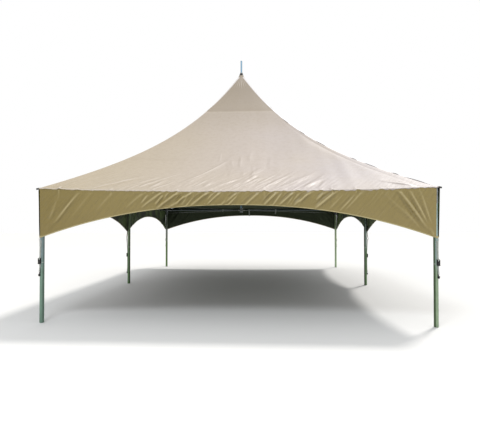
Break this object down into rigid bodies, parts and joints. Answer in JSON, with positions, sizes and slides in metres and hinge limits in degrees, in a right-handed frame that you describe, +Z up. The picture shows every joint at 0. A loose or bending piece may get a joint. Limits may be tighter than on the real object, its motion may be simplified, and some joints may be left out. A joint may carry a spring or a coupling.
{
  "type": "single-peak frame marquee tent",
  "caption": "Rectangular open-sided marquee on metal legs, with a high concave peak, a scalloped valance and a hung centre mast.",
  "frame": {"origin": "on the ground under the middle of the plan, level with the feet of the six legs", "axes": "+X to the right seen from the front, +Y along the longer side towards the back, +Z up"},
  "size_m": [6.2226, 9.2654, 5.785],
  "materials": {
    "roof_vinyl": "semi-gloss coated polyester, pale tan outside and dark inside",
    "valance_vinyl": "semi-gloss coated polyester, olive tan outside and dark inside",
    "mast_tube": "satin mill finish",
    "cap_rubber": "matt black",
    "rail_tube": "satin mill finish",
    "leg_tube": "satin mill finish",
    "cast_fitting": "sand cast, matt",
    "wire_rope": "galvanised strands",
    "webbing": "woven polyester, pale",
    "ratchet_steel": "black coated steel"
  },
  "bodies": {
    "root": {"roof_front": "roof_vinyl", "valance_front": "valance_vinyl", "roof_back": "roof_vinyl", "valance_back": "valance_vinyl", "roof_left": "roof_vinyl", "valance_left": "valance_vinyl", "roof_right": "roof_vinyl", "valance_right": "valance_vinyl", "mast": "mast_tube", "mast_cap": "cap_rubber", "mast_foot": "cast_fitting", "rail_front": "rail_tube", "rail_back": "rail_tube", "rail_left_front": "rail_tube", "rail_left_back": "rail_tube", "rail_right_front": "rail_tube", "rail_right_back": "rail_tube", "corner_fitting_front_left": "cast_fitting", "cross_cable_front_left": "wire_rope", "corner_fitting_front_right": "cast_fitting", "cross_cable_front_right": "wire_rope", "corner_fitting_back_left": "cast_fitting", "cross_cable_back_left": "wire_rope", "corner_fitting_back_right": "cast_fitting", "cross_cable_back_right": "wire_rope", "tee_fitting_middle_left": "cast_fitting", "tee_fitting_middle_right": "cast_fitting", "leg_front_left": "leg_tube", "strap_front_left": "webbing", "ratchet_front_left": "ratchet_steel", "leg_front_right": "leg_tube", "strap_front_right": "webbing", "ratchet_front_right": "ratchet_steel", "leg_back_left": "leg_tube", "strap_back_left": "webbing", "ratchet_back_left": "ratchet_steel", "leg_back_right": "leg_tube", "strap_back_right": "webbing", "ratchet_back_right": "ratchet_steel", "leg_middle_left": "leg_tube", "strap_middle_left": "webbing", "ratchet_middle_left": "ratchet_steel", "leg_middle_right": "leg_tube", "strap_middle_right": "webbing", "ratchet_middle_right": "ratchet_steel"}
  },
  "joints": []
}
